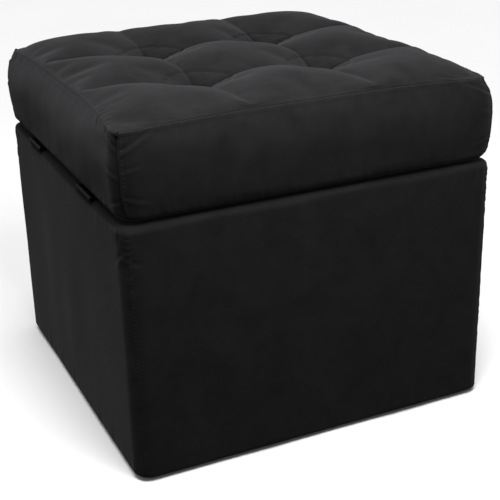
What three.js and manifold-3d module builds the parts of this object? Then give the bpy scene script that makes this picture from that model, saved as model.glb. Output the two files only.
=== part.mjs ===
// A cube ottoman: an upholstered box with a storage compartment, closed by a hinged seat lid.
// Millimetres, +Z up, origin on the floor under the middle. The hinges are at the back, +Y.
import * as THREE from 'three';
import { mergeVertices } from 'three/addons/utils/BufferGeometryUtils.js';
import Module from 'manifold-3d';

const wasm = await Module();
wasm.setup();

// Overall sizes
const LID_HALF = 225;
const BASE_HALF = 223;
const RIM_Z = 297;
const LID_Z = 300.3;
const BAND_HEIGHT = 97;
const GAP = 0.3;

// Sheet and board thicknesses
const CLOTH = 1.5;
const LINING = 0.8;
const DUST_CLOTH = 0.6;
const WADDING = 6;
const BOARD = 12;
const FLOOR_BOARD = 9;

// Base
const BASE_CORNER_RADIUS = 8;
const RIM_ROUND = 7;
const FOOT_ROUND = 4;
const UNDER_HEM = 30;
const RIM_HEM = 28;
const BLOCK_LEG = 25;
const BLOCK_HEIGHT = 250;
const LINING_TOP = 287;
const LINING_CHAMFER = 22;
const GLIDE_HEIGHT = 3;
const GLIDE_RADIUS = 10;
const GLIDE_AT = 178;
const NAIL_HOLE_RADIUS = 1.3;
const DUST_HALF = 203;

// Lid
const LID_CORNER_RADIUS = 20;
const LID_EDGE_ROUND = 10;
const LID_HEM = 35;
const LID_BOARD_HALF = 214;
const LID_BOARD_CORNER = 12;
const LID_LINING_HALF = 194;
const DOME = 6;
const PILLOW = 11;
const TUFT_AT = 75;
const TUFT_DEPTH = 20;
const TUFT_SPREAD = 20;
const QUILT_CELLS = 18;
const TWINE_RADIUS = 1;
const TWINE_CLEARANCE = 0.4;
const TWINE_HOLE_RADIUS = 2.5;
const KNOT_RADIUS = 2.4;
const WASHER_RADIUS = 10;
const WASHER = 1.2;
const COUNTERBORE_RADIUS = 12;
const COUNTERBORE = 3;

// Hinges
const HINGE_X = 100;
const HINGE_LENGTH = 50;
const HINGE_KNUCKLE = 18;
const HINGE_Y = 222;
const LEAF = 1.2;
const LEAF_START_Y = 201;
const BARREL_RADIUS = 2.8;
const BARREL_CLEARANCE = 0.5;
const PIN_RADIUS = 1.5;
const PIN_CLEARANCE = 0.05;
const PIN_HEAD_RADIUS = 2.3;
const PIN_HEAD = 0.8;
const SCREW_X = 16;
const SCREW_Y = 208.5;
const SCREW_LENGTH = 14;
const SCREW_RADIUS = 1.5;
const SCREW_HEAD_RADIUS = 3;
const SCREW_CLEARANCE = 0.3;

// Levels above the floor, from the bottom up
const DUST_Z = GLIDE_HEIGHT + GAP;
const COVER_Z = DUST_Z + DUST_CLOTH + GAP;
const WALL_Z = COVER_Z + CLOTH + GAP;
const FLOOR_TOP = WALL_Z + FLOOR_BOARD;
const WALL_TOP = RIM_Z - CLOTH - GAP;

// Half widths of the base's layers, from the outside in
const WADDING_HALF = BASE_HALF - CLOTH - GAP;
const WALL_HALF = WADDING_HALF - WADDING - GAP;
const INNER_HALF = WALL_HALF - BOARD;
const RIM_HEM_HALF = INNER_HALF - GAP;
const LINING_HALF = RIM_HEM_HALF - CLOTH - GAP;

// Heights in the lid's own frame, above its underside
const LID_BOARD_Z = CLOTH + GAP;
const LID_BOARD_TOP = LID_BOARD_Z + BOARD;
const CRACK = LID_Z - RIM_Z;

const material = (color, roughness, metalness = 0) =>
  new THREE.MeshStandardMaterial({ color, roughness, metalness });
const SUEDE = material(0x2b2b2d, 0.9);
const NON_WOVEN = material(0x1c1c1e, 0.95);
const FIBREBOARD = material(0x9c7c55, 0.8);
const TIMBER = material(0xb8905e, 0.75);
const FOAM = material(0xe6dcb4, 0.95);
const WADDING_WHITE = material(0xe9e9e6, 0.95);
const STEEL = material(0xb4b4b6, 0.35, 0.9);
const BLACK_STEEL = material(0x262627, 0.5, 0.9);
const BLACK_PLASTIC = material(0x151515, 0.5);
const TWINE = material(0xd8d2c0, 0.8);

// ---- Solids ----

function solid(geometry) {
  const bare = geometry.clone();
  bare.deleteAttribute('normal');
  bare.deleteAttribute('uv');
  const merged = mergeVertices(bare, 1e-3);
  return new wasm.Manifold(new wasm.Mesh({
    numProp: 3,
    vertProperties: merged.attributes.position.array,
    triVerts: new Uint32Array(merged.index.array),
  }));
}

function surface(made) {
  const { vertProperties, triVerts } = made.getMesh();
  const geometry = new THREE.BufferGeometry();
  geometry.setAttribute('position', new THREE.BufferAttribute(vertProperties, 3));
  geometry.setIndex(new THREE.BufferAttribute(triVerts, 1));
  geometry.computeVertexNormals();
  return geometry;
}

function piece(name, made, finish) {
  const mesh = new THREE.Mesh(surface(made), finish);
  mesh.name = name;
  return mesh;
}

// A box between two corners.
function block([x0, y0, z0], [x1, y1, z1]) {
  const geometry = new THREE.BoxGeometry(x1 - x0, y1 - y0, z1 - z0);
  geometry.translate((x0 + x1) / 2, (y0 + y1) / 2, (z0 + z1) / 2);
  return solid(geometry);
}

// A square sheet lying level, centred on the origin.
const sheet = (half, z0, z1) => block([-half, -half, z0], [half, half, z1]);

// A profile of [radius, z] points turned about the Z axis.
function turned(profile, sides = 16) {
  const points = profile.map(([radius, z]) => new THREE.Vector2(radius, z));
  const geometry = new THREE.LatheGeometry(points, sides);
  geometry.rotateX(Math.PI / 2);
  return solid(geometry);
}

const rod = (radius, z0, z1, sides = 12) =>
  turned([[0, z0], [radius, z0], [radius, z1], [0, z1]], sides);

// A rod along X, at a height and depth.
function crossRod(radius, x0, x1, y, z, sides = 16) {
  const geometry = new THREE.CylinderGeometry(radius, radius, x1 - x0, sides);
  geometry.rotateZ(Math.PI / 2);
  geometry.translate((x0 + x1) / 2, y, z);
  return solid(geometry);
}

// Cuts the same tool out of a solid at each of a list of [x, y] places.
const cutAt = (made, tool, places) =>
  places.reduce((left, [x, y]) => left.subtract(tool.translate([x, y, 0])), made);

// A level outline of a square with rounded corners, anticlockwise from above.
function roundedLoop(half, radius, steps) {
  const centre = half - radius;
  const loop = [];
  for (let corner = 0; corner < 4; corner++) {
    const [sx, sy] = [[1, 1], [-1, 1], [-1, -1], [1, -1]][corner];
    for (let i = 0; i <= steps; i++) {
      const angle = (Math.PI / 2) * (corner + i / steps);
      loop.push([sx * centre + radius * Math.cos(angle), sy * centre + radius * Math.sin(angle)]);
    }
  }
  return loop;
}

// A closed profile of [inset, z] points swept round a rounded square. The profile goes up
// its outer side and down its inner side.
function sweptRing(half, radius, profile, steps = 5) {
  const tightest = 0.5;
  const position = [];
  const index = [];
  const count = 4 * (steps + 1);
  for (const [inset, z] of profile) {
    const loop = roundedLoop(half - inset, Math.max(tightest, radius - inset), steps);
    for (const [x, y] of loop) position.push(x, y, z);
  }
  for (let k = 0; k < profile.length; k++) {
    const next = (k + 1) % profile.length;
    for (let i = 0; i < count; i++) {
      const after = (i + 1) % count;
      const [a, b] = [k * count + i, k * count + after];
      const [c, d] = [next * count + after, next * count + i];
      index.push(a, b, c, a, c, d);
    }
  }
  const geometry = new THREE.BufferGeometry();
  geometry.setAttribute('position', new THREE.Float32BufferAttribute(position, 3));
  geometry.setIndex(index);
  return solid(geometry);
}

function roundedColumn(half, radius, z0, z1, steps = 5) {
  const outline = roundedLoop(half, radius, steps).map(([x, y]) => new THREE.Vector2(x, y));
  const geometry = new THREE.ExtrudeGeometry(new THREE.Shape(outline), {
    depth: z1 - z0,
    bevelEnabled: false,
  });
  geometry.translate(0, 0, z0);
  return solid(geometry);
}

// Points of a quarter circle from one angle to another, in degrees, about [inset, z].
function quarter([inset, z], radius, from, to, steps = 3) {
  const points = [];
  for (let i = 0; i <= steps; i++) {
    const angle = THREE.MathUtils.degToRad(from + ((to - from) * i) / steps);
    points.push([inset + radius * Math.cos(angle), z + radius * Math.sin(angle)]);
  }
  return points;
}

// ---- Base ----

const screwPlaces = [-HINGE_X, HINGE_X].flatMap((x) =>
  [-SCREW_X, SCREW_X].map((dx) => [x + dx, SCREW_Y]));
const screwHole = rod(SCREW_RADIUS + SCREW_CLEARANCE, -SCREW_LENGTH - 1, SCREW_LENGTH + 1, 8);
const corners = [[-1, -1], [1, -1], [1, 1], [-1, 1]];
const cornerNames = ['front_left', 'front_right', 'back_right', 'back_left'];

function walls() {
  const inner = INNER_HALF - GAP;
  const front = block([-WALL_HALF, -WALL_HALF, WALL_Z], [WALL_HALF, -INNER_HALF, WALL_TOP]);
  const back = block([-WALL_HALF, INNER_HALF, WALL_Z], [WALL_HALF, WALL_HALF, WALL_TOP]);
  const left = block([-WALL_HALF, -inner, WALL_Z], [-INNER_HALF, inner, WALL_TOP]);
  const right = block([INNER_HALF, -inner, WALL_Z], [WALL_HALF, inner, WALL_TOP]);
  const drilledBack = cutAt(back, screwHole.translate([0, 0, RIM_Z]), screwPlaces);
  return [
    piece('front_board', front, FIBREBOARD),
    piece('back_board', drilledBack, FIBREBOARD),
    piece('left_board', left, FIBREBOARD),
    piece('right_board', right, FIBREBOARD),
  ];
}

const glidePlaces = corners.map(([sx, sy]) => [sx * GLIDE_AT, sy * GLIDE_AT]);
const nailHole = rod(NAIL_HOLE_RADIUS, 0, FLOOR_TOP + 1, 8);

function floorBoard() {
  const board = sheet(INNER_HALF - GAP, WALL_Z, FLOOR_TOP);
  return piece('floor_board', cutAt(board, nailHole, glidePlaces), FIBREBOARD);
}

// Triangular glue blocks that brace the box's corners.
function cornerBlocks() {
  const half = INNER_HALF - GAP;
  const outline = [[half, half], [half - BLOCK_LEG, half], [half, half - BLOCK_LEG]];
  const shape = new THREE.Shape(outline.map(([x, y]) => new THREE.Vector2(x, y)));
  const geometry = new THREE.ExtrudeGeometry(shape, { depth: BLOCK_HEIGHT, bevelEnabled: false });
  return [2, 3, 0, 1].map((corner, quarterTurns) => {
    const post = piece(`corner_block_${cornerNames[corner]}`, solid(geometry), TIMBER);
    post.position.z = FLOOR_TOP + GAP;
    post.rotation.z = (quarterTurns * Math.PI) / 2;
    return post;
  });
}

// One sheet of wadding is glued to each wall's outer face.
function waddingSheets() {
  const low = [-WALL_HALF, -WADDING_HALF, COVER_Z + FOOT_ROUND];
  const high = [WALL_HALF, -WADDING_HALF + WADDING, RIM_Z - RIM_ROUND];
  return ['front', 'right', 'back', 'left'].map((side, quarterTurns) => {
    const pad = piece(`${side}_wadding`, block(low, high), WADDING_WHITE);
    pad.rotation.z = (quarterTurns * Math.PI) / 2;
    return pad;
  });
}

// The sewn sleeve that wraps the box: over the rim to a hem inside, and under to another.
function baseCover() {
  const inside = BASE_HALF - RIM_HEM_HALF;
  const hemBottom = RIM_Z - RIM_HEM;
  const foot = [FOOT_ROUND, COVER_Z + FOOT_ROUND];
  const rim = [RIM_ROUND, RIM_Z - RIM_ROUND];
  const profile = [
    [UNDER_HEM, COVER_Z],
    ...quarter(foot, FOOT_ROUND, 270, 180),
    ...quarter(rim, RIM_ROUND, 180, 90),
    [inside + CLOTH, RIM_Z],
    [inside + CLOTH, hemBottom],
    [inside, hemBottom],
    [inside, RIM_Z - CLOTH],
    ...quarter(rim, RIM_ROUND - CLOTH, 90, 180),
    ...quarter(foot, FOOT_ROUND - CLOTH, 180, 270),
    [UNDER_HEM, COVER_Z + CLOTH],
  ];
  const sleeve = sweptRing(BASE_HALF, BASE_CORNER_RADIUS, profile, 3);
  const drilled = cutAt(sleeve, screwHole.translate([0, 0, RIM_Z]), screwPlaces);
  return piece('base_cover', drilled, SUEDE);
}

// The compartment's side lining crosses the corner blocks on a chamfer.
function sideLining() {
  const bottom = FLOOR_TOP + GAP;
  const profile = [[0, bottom], [0, LINING_TOP], [LINING, LINING_TOP], [LINING, bottom]];
  const lining = sweptRing(LINING_HALF, LINING_CHAMFER, profile, 1);
  return piece('side_lining', lining, NON_WOVEN);
}

// The floor lining lies inside the foot of the side lining.
function floorLining() {
  const inset = LINING + 2 * GAP;
  const outline = [LINING_HALF - inset, LINING_CHAMFER - inset / 2];
  const lining = roundedColumn(...outline, FLOOR_TOP + GAP, FLOOR_TOP + GAP + LINING, 1);
  return piece('floor_lining', lining, NON_WOVEN);
}

function dustCover() {
  const cloth = sheet(DUST_HALF, DUST_Z, DUST_Z + DUST_CLOTH);
  return piece('dust_cover', cutAt(cloth, nailHole, glidePlaces), NON_WOVEN);
}

// A nail-on glide is a disc with a sunk hole for its nail's head.
function glides() {
  const headRadius = 3;
  const head = 1;
  const sunk = 1.2;
  const disc = [
    [NAIL_HOLE_RADIUS, GLIDE_HEIGHT],
    [NAIL_HOLE_RADIUS, sunk + head],
    [headRadius + GAP, sunk],
    [headRadius + GAP, 0],
    [GLIDE_RADIUS - 1, 0],
    [GLIDE_RADIUS, 1],
    [GLIDE_RADIUS, GLIDE_HEIGHT],
    [NAIL_HOLE_RADIUS, GLIDE_HEIGHT],
  ];
  const nail = [[0, 0.6], [headRadius - GAP, 0.6], [1, sunk + head - 0.2], [1, 13], [0, 15]];
  return cornerNames.flatMap((name, i) => {
    const [x, y] = glidePlaces[i];
    const pair = [
      piece(`glide_${name}`, turned(disc), BLACK_PLASTIC),
      piece(`glide_nail_${name}`, turned(nail, 10), STEEL),
    ];
    pair.forEach((part) => part.position.set(x, y, 0));
    return pair;
  });
}

// ---- Lid, in its own frame with its underside at zero ----

// 1 in the middle of a pillow, 0 on the creases and at the lid's edge.
function bulge(t) {
  const width = 2 * TUFT_AT;
  const across = ((Math.abs(t) + TUFT_AT) % width) / width;
  return 1 - Math.abs(2 * across - 1) ** 3;
}

// Height of the tufted top over the lid's underside.
function quiltHeight(x, y) {
  const dome = (1 - (x / LID_HALF) ** 4) * (1 - (y / LID_HALF) ** 4);
  const toTuft = Math.hypot(Math.abs(x) - TUFT_AT, Math.abs(y) - TUFT_AT);
  const hollow = Math.exp(-((toTuft / TUFT_SPREAD) ** 2));
  return BAND_HEIGHT + DOME * dome + PILLOW * bulge(x) * bulge(y) - TUFT_DEPTH * hollow;
}

// A solid between two height functions, over the lid's whole square.
function betweenHeights(upper, lower) {
  const n = QUILT_CELLS;
  const step = (2 * LID_HALF) / n;
  const position = [];
  const index = [];
  for (const height of [upper, lower]) {
    for (let j = 0; j <= n; j++) {
      for (let i = 0; i <= n; i++) {
        const [x, y] = [i * step - LID_HALF, j * step - LID_HALF];
        position.push(x, y, height(x, y));
      }
    }
  }
  const top = (i, j) => j * (n + 1) + i;
  const under = (i, j) => (n + 1) ** 2 + top(i, j);
  const quad = (a, b, c, d) => index.push(a, b, c, a, c, d);
  for (let j = 0; j < n; j++) {
    for (let i = 0; i < n; i++) {
      quad(top(i, j), top(i + 1, j), top(i + 1, j + 1), top(i, j + 1));
      quad(under(i, j), under(i, j + 1), under(i + 1, j + 1), under(i + 1, j));
    }
    quad(under(j, 0), under(j + 1, 0), top(j + 1, 0), top(j, 0));
    quad(under(j + 1, n), under(j, n), top(j, n), top(j + 1, n));
    quad(under(0, j + 1), under(0, j), top(0, j), top(0, j + 1));
    quad(under(n, j), under(n, j + 1), top(n, j + 1), top(n, j));
  }
  const geometry = new THREE.BufferGeometry();
  geometry.setAttribute('position', new THREE.Float32BufferAttribute(position, 3));
  geometry.setIndex(index);
  return solid(geometry);
}

const tuftPlaces = corners.map(([sx, sy]) => [sx * TUFT_AT, sy * TUFT_AT]);

function lidBoard() {
  const outline = [LID_BOARD_HALF, LID_BOARD_CORNER];
  const board = roundedColumn(...outline, LID_BOARD_Z, LID_BOARD_TOP);
  const screwed = cutAt(board, screwHole, screwPlaces);
  const twineHole = rod(TWINE_HOLE_RADIUS, 0, LID_BOARD_TOP + 1);
  const counterbore = rod(COUNTERBORE_RADIUS, 0, LID_BOARD_Z + COUNTERBORE, 20);
  const drilled = cutAt(screwed, twineHole.add(counterbore), tuftPlaces);
  return piece('lid_board', drilled, FIBREBOARD);
}

// The foam block sits over the board and wraps its edges.
function lidFoam() {
  const inset = CLOTH + GAP;
  const half = LID_HALF - inset;
  const r = LID_EDGE_ROUND - inset;
  const full = betweenHeights((x, y) => quiltHeight(x, y) - inset, () => LID_BOARD_Z);
  const outline = roundedColumn(half, LID_CORNER_RADIUS - inset, 0, 2 * BAND_HEIGHT);
  const shaved = sweptRing(half, LID_CORNER_RADIUS - inset, [
    [-1, 0],
    [-1, LID_EDGE_ROUND],
    ...quarter([r, LID_EDGE_ROUND], r, 180, 270),
    [r, 0],
  ]);
  const pocket = roundedColumn(
    LID_BOARD_HALF + GAP,
    LID_BOARD_CORNER + GAP,
    0,
    LID_BOARD_TOP + GAP,
  );
  const bare = full.intersect(outline).subtract(shaved).subtract(pocket);
  const twineHole = rod(TWINE_RADIUS + TWINE_CLEARANCE, 0, 2 * BAND_HEIGHT, 8);
  return piece('lid_foam', cutAt(bare, twineHole, tuftPlaces), FOAM);
}

function lidTopPanel() {
  const slab = betweenHeights(quiltHeight, (x, y) => quiltHeight(x, y) - CLOTH);
  const outline = roundedColumn(LID_HALF, LID_CORNER_RADIUS, 0, 2 * BAND_HEIGHT);
  return piece('lid_top_panel', slab.intersect(outline), SUEDE);
}

// The boxing band round the lid's sides turns under to a hem.
function lidBand() {
  const r = LID_EDGE_ROUND;
  const top = BAND_HEIGHT - CLOTH - GAP;
  const profile = [
    [LID_HEM, 0],
    ...quarter([r, r], r, 270, 180),
    [0, top],
    [CLOTH, top],
    ...quarter([r, r], r - CLOTH, 180, 270),
    [LID_HEM, CLOTH],
  ];
  const band = sweptRing(LID_HALF, LID_CORNER_RADIUS, profile);
  return piece('lid_band', cutAt(band, screwHole, screwPlaces), SUEDE);
}

function lidLining() {
  const lining = sheet(LID_LINING_HALF, -GAP - LINING, -GAP);
  return piece('lid_lining', lining, NON_WOVEN);
}

// Each tuft's twine is pulled down through the foam and the board, and knotted at a washer.
function tufts() {
  const washerZ = LID_BOARD_Z + COUNTERBORE - GAP - WASHER;
  const knotTop = washerZ - GAP;
  const top = quiltHeight(TUFT_AT, TUFT_AT) - CLOTH - GAP;
  const r = TWINE_RADIUS;
  const twine = [
    [0, knotTop - 1],
    [KNOT_RADIUS, knotTop - 1],
    [KNOT_RADIUS, knotTop],
    [r, knotTop],
    [r, top],
    [0, top],
  ];
  const washer = [
    [r + TWINE_CLEARANCE, washerZ],
    [WASHER_RADIUS, washerZ],
    [WASHER_RADIUS, washerZ + WASHER],
    [r + TWINE_CLEARANCE, washerZ + WASHER],
    [r + TWINE_CLEARANCE, washerZ],
  ];
  return cornerNames.flatMap((name, i) => {
    const [x, y] = tuftPlaces[i];
    const pair = [
      piece(`tuft_twine_${name}`, turned(twine, 10), TWINE),
      piece(`tuft_washer_${name}`, turned(washer, 20), STEEL),
    ];
    pair.forEach((part) => part.position.set(x, y, 0));
    return pair;
  });
}

// ---- Hinges, in a frame on the pin's axis ----

const screwSink = turned([
  [0, -1],
  [SCREW_RADIUS + SCREW_CLEARANCE, -1],
  [SCREW_RADIUS + SCREW_CLEARANCE, 0],
  [SCREW_HEAD_RADIUS + SCREW_CLEARANCE, LEAF],
  [SCREW_HEAD_RADIUS + SCREW_CLEARANCE, LEAF + 1],
  [0, LEAF + 1],
], 12);

// A leaf is a plate with countersunk holes and the knuckles that wrap the pin. It is drawn as
// the base's leaf; the lid's leaf is the same turned over, with the other knuckles.
function leafSolid(knuckles) {
  const plateTop = -CRACK / 2 + GAP + LEAF;
  const start = LEAF_START_Y - HINGE_Y;
  const end = -BARREL_RADIUS - BARREL_CLEARANCE;
  const half = HINGE_LENGTH / 2;
  const round = 3;
  const shape = new THREE.Shape();
  shape.moveTo(half, end);
  shape.lineTo(-half, end);
  shape.absarc(-half + round, start + round, round, Math.PI, 1.5 * Math.PI);
  shape.absarc(half - round, start + round, round, 1.5 * Math.PI, 2 * Math.PI);
  const plateGeometry = new THREE.ExtrudeGeometry(shape, {
    depth: LEAF,
    bevelEnabled: false,
    curveSegments: 4,
  });
  plateGeometry.translate(0, 0, plateTop - LEAF);
  const plate = solid(plateGeometry);
  const sink = screwSink.translate([0, 0, plateTop - LEAF]);
  const holes = [-SCREW_X, SCREW_X].map((x) => [x, SCREW_Y - HINGE_Y]);
  const boreSides = 16;
  const boreRadius = (PIN_RADIUS + PIN_CLEARANCE) / Math.cos(Math.PI / boreSides);
  const joined = knuckles.reduce((made, [x0, x1]) => made
    .add(crossRod(BARREL_RADIUS, x0, x1, 0, 0))
    .add(block([x0, end - 0.5, plateTop - LEAF], [x1, -PIN_RADIUS, plateTop])),
  cutAt(plate, sink, holes));
  return joined.subtract(crossRod(boreRadius, -half - 1, half + 1, 0, 0, boreSides));
}

// A countersunk wood screw, head up at zero, with a cross recess.
function screwSolid() {
  const recess = block([-1.7, -0.35, -0.8], [1.7, 0.35, 1])
    .add(block([-0.35, -1.7, -0.8], [0.35, 1.7, 1]));
  return turned([
    [0, -SCREW_LENGTH],
    [SCREW_RADIUS, -SCREW_LENGTH + 3],
    [SCREW_RADIUS, -LEAF],
    [SCREW_HEAD_RADIUS, 0],
    [0, 0],
  ], 12).subtract(recess);
}

function pinSolid() {
  const half = HINGE_LENGTH / 2 + GAP;
  return crossRod(PIN_RADIUS, -half - 0.2, half + 0.2, 0, 0)
    .add(crossRod(PIN_HEAD_RADIUS, -half - PIN_HEAD, -half, 0, 0))
    .add(crossRod(PIN_HEAD_RADIUS, half, half + PIN_HEAD, 0, 0));
}

function hinge(side, x) {
  const half = HINGE_LENGTH / 2;
  const middle = HINGE_KNUCKLE / 2;
  const outer = middle + GAP;
  const leafPlate = CRACK / 2 - GAP - LEAF;
  const baseLeaf = leafSolid([[-middle, middle]]);
  const lidLeaf = leafSolid([[-half, -outer], [outer, half]]).mirror([0, 0, 1]);
  const group = new THREE.Group();
  group.position.set(x, HINGE_Y, RIM_Z + CRACK / 2);
  group.add(
    piece(`hinge_${side}_base_leaf`, baseLeaf, BLACK_STEEL),
    piece(`hinge_${side}_lid_leaf`, lidLeaf, BLACK_STEEL),
    piece(`hinge_${side}_pin`, pinSolid(), BLACK_STEEL),
  );
  ['outer', 'inner'].forEach((place, i) => {
    const screwX = (i ? -1 : 1) * Math.sign(x) * SCREW_X;
    const down = piece(`hinge_${side}_base_screw_${place}`, screwSolid(), BLACK_STEEL);
    down.position.set(screwX, SCREW_Y - HINGE_Y, -leafPlate);
    const up = piece(`hinge_${side}_lid_screw_${place}`, screwSolid(), BLACK_STEEL);
    up.position.set(screwX, SCREW_Y - HINGE_Y, leafPlate);
    up.rotation.x = Math.PI;
    group.add(down, up);
  });
  return group;
}

// ---- Assembly ----

const base = new THREE.Group();
base.add(
  ...walls(),
  floorBoard(),
  ...cornerBlocks(),
  ...waddingSheets(),
  baseCover(),
  sideLining(),
  floorLining(),
  dustCover(),
  ...glides(),
);

const lid = new THREE.Group();
lid.position.z = LID_Z;
lid.add(lidBoard(), lidFoam(), lidTopPanel(), lidBand(), lidLining(), ...tufts());

const ottoman = new THREE.Group();
ottoman.add(base, lid, hinge('left', -HINGE_X), hinge('right', HINGE_X));

export default ottoman;
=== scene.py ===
import math

import bpy
import numpy as np
from mathutils import Matrix, Vector
from mathutils.bvhtree import BVHTree


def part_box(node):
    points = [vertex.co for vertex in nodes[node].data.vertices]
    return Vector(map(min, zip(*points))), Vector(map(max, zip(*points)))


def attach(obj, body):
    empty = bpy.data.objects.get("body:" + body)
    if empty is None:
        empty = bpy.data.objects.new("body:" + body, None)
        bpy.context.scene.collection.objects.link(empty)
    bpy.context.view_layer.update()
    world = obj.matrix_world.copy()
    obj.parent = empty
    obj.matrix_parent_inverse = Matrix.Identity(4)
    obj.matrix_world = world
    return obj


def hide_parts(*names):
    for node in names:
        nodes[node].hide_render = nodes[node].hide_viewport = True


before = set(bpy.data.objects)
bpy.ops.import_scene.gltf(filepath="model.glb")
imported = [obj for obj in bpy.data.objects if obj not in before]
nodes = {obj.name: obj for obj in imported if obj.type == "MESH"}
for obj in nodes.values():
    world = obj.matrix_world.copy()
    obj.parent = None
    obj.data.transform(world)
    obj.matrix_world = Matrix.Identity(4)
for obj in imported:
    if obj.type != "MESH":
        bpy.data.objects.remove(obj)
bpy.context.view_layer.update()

# An upholstered storage cube: a box and a tufted lid, both covered in black suede cloth. The CAD
# model gives the places and sizes. Here the soft pieces get their sewn and stuffed shapes.
# Lengths are in metres, written in millimetres times MM.

MM = 0.001

# ---- Sizes of the sewn shapes ----

SEAM_BELOW_CROWN = 17 * MM
LID_CORNER = 23 * MM
LID_EDGE_ROUND = 10 * MM
LID_HEM = 33 * MM
LID_FLAT_INSET = 6 * MM
DOME = 2.5 * MM
PILLOW = 2.5 * MM
TUFT_DEPTH = 22 * MM
TUFT_SPREAD = 22 * MM
SEAM_RISE = 2.5 * MM
SEAM_DRAW = 13 * MM
SEAM_CORNER_DRAW = 9 * MM
SEAM_CORNER_PUSH = 2.5 * MM
SEAM_CORNER_SINK = 2.5 * MM
FOOT_DRAW = 4 * MM
BASE_CORNER = 19 * MM
RIM_ROUND = 7 * MM
RIM_HEM = 28 * MM
FOOT_ROUND = 4 * MM
BASE_HEM = 28 * MM
CUT_CORNER = 22 * MM
PADDING_GAP = 5 * MM
STAPLE_PITCH = 42 * MM
STAPLE_INSET = 6 * MM
STITCH_PITCH = 4.6 * MM
STITCH_OFFSET = -3.4 * MM

# ---- Sizes from the frame ----

LID_LOW, LID_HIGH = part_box("lid_band")
BASE_LOW, BASE_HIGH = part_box("base_cover")
LID_HALF = LID_HIGH.x
LID_BOTTOM = LID_LOW.z
SEAM_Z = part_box("lid_top_panel")[1].z - SEAM_BELOW_CROWN
BASE_HALF = BASE_HIGH.x
BASE_BOTTOM = BASE_LOW.z
RIM_Z = BASE_HIGH.z
LID_BOARD_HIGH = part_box("lid_board")[1]
WASHER_LOW, WASHER_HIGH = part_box("tuft_washer_back_right")
TUFT_AT = (WASHER_LOW.x + WASHER_HIGH.x) / 2
TUFT_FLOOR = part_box("tuft_twine_back_right")[1].z + 1.0 * MM
WALL_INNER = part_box("right_board")[0].x


def add_object(name, data):
    made = bpy.data.objects.new(name, data)
    bpy.context.scene.collection.objects.link(made)
    return made


# ---- Camera ----

CAMERA_AIM = Vector((-0.0227, -0.0062, 0.1576))
CAMERA_AZIMUTH = math.radians(245.61)
CAMERA_ELEVATION = math.radians(22.72)
CAMERA_ROLL = math.radians(-1.57)
CAMERA_DISTANCE = 1.394
CAMERA_LENS = 79.7
CAMERA_SENSOR = 36


def make_camera():
    camera = add_object("camera", bpy.data.cameras.new("camera"))
    away = Vector((
        math.sin(CAMERA_AZIMUTH) * math.cos(CAMERA_ELEVATION),
        -math.cos(CAMERA_AZIMUTH) * math.cos(CAMERA_ELEVATION),
        math.sin(CAMERA_ELEVATION),
    ))
    camera.location = CAMERA_AIM + away * CAMERA_DISTANCE
    facing = (-away).to_track_quat("-Z", "Y").to_matrix()
    camera.rotation_euler = (facing @ Matrix.Rotation(CAMERA_ROLL, 3, "Z")).to_euler()
    camera.data.lens = CAMERA_LENS
    camera.data.sensor_width = CAMERA_SENSOR
    bpy.context.scene.camera = camera


# ---- Floor and light ----

FLOOR_HALF = 15
SKY_STRENGTH = 0.33
CEILING_TOWARD = Vector((0.02, 0.07, 1))
CEILING_STRENGTH = 2.2
CEILING_SPREAD = math.radians(40)
PANEL_AT = Vector((-0.52, 0.08, 0.92))
PANEL_POWER = 7.5
PANEL_SIZE = 0.4


def make_floor(material):
    corners = [(-1, -1, 0), (1, -1, 0), (1, 1, 0), (-1, 1, 0)]
    mesh = bpy.data.meshes.new("floor")
    mesh.from_pydata([Vector(c) * FLOOR_HALF for c in corners], [], [(0, 1, 2, 3)])
    mesh.materials.append(material)
    add_object("floor", mesh)


def make_sky():
    world = bpy.data.worlds.new("studio")
    bpy.context.scene.world = world
    world.use_nodes = True
    background = world.node_tree.nodes["Background"]
    background.inputs["Color"].default_value = (1, 1, 1, 1)
    background.inputs["Strength"].default_value = SKY_STRENGTH


def make_lamp(name, kind, energy, toward):
    """A lamp that shines from that direction."""
    lamp = add_object(name, bpy.data.lights.new(name, kind))
    lamp.data.energy = energy
    lamp.rotation_euler = (-toward).to_track_quat("-Z", "Y").to_euler()
    return lamp


def make_lights():
    """A sky, a sun as wide as a ceiling of diffusers, and a softbox that fades toward the floor."""
    make_sky()
    ceiling = make_lamp("ceiling_softbox", "SUN", CEILING_STRENGTH, CEILING_TOWARD)
    ceiling.data.angle = CEILING_SPREAD
    panel = make_lamp("window_panel", "AREA", PANEL_POWER, PANEL_AT - Vector((0, 0, RIM_Z)))
    panel.data.size = PANEL_SIZE
    panel.location = PANEL_AT


# ---- Numbers and shapes ----


def bell(x, width):
    """1 at x = 0, falling smoothly to 0 over a few widths."""
    return np.exp(-((x / width) ** 2))


def step_up(x, start, end):
    """0 before start, 1 after end, and smooth between them."""
    t = np.clip((x - start) / (end - start), 0, 1)
    return t * t * (3 - 2 * t)


def quarter_turn(number):
    """The matrix of that many quarter turns about Z."""
    return np.array(Matrix.Rotation(math.pi / 2 * number, 3, "Z"))


def ripples(points, wavelength, seed, waves=9):
    """Smooth noise of about -1 to 1 over the points: sine waves in seeded directions."""
    chance = np.random.default_rng(seed)
    directions = chance.normal(size=(waves, points.shape[-1]))
    directions /= np.linalg.norm(directions, axis=1, keepdims=True)
    lengths = wavelength * chance.uniform(0.7, 1.5, waves)
    phases = chance.uniform(0, 2 * math.pi, waves)
    total = sum(
        np.sin(2 * math.pi * (points @ d) / length + phase)
        for d, length, phase in zip(directions, lengths, phases)
    )
    return total / math.sqrt(waves)


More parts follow.
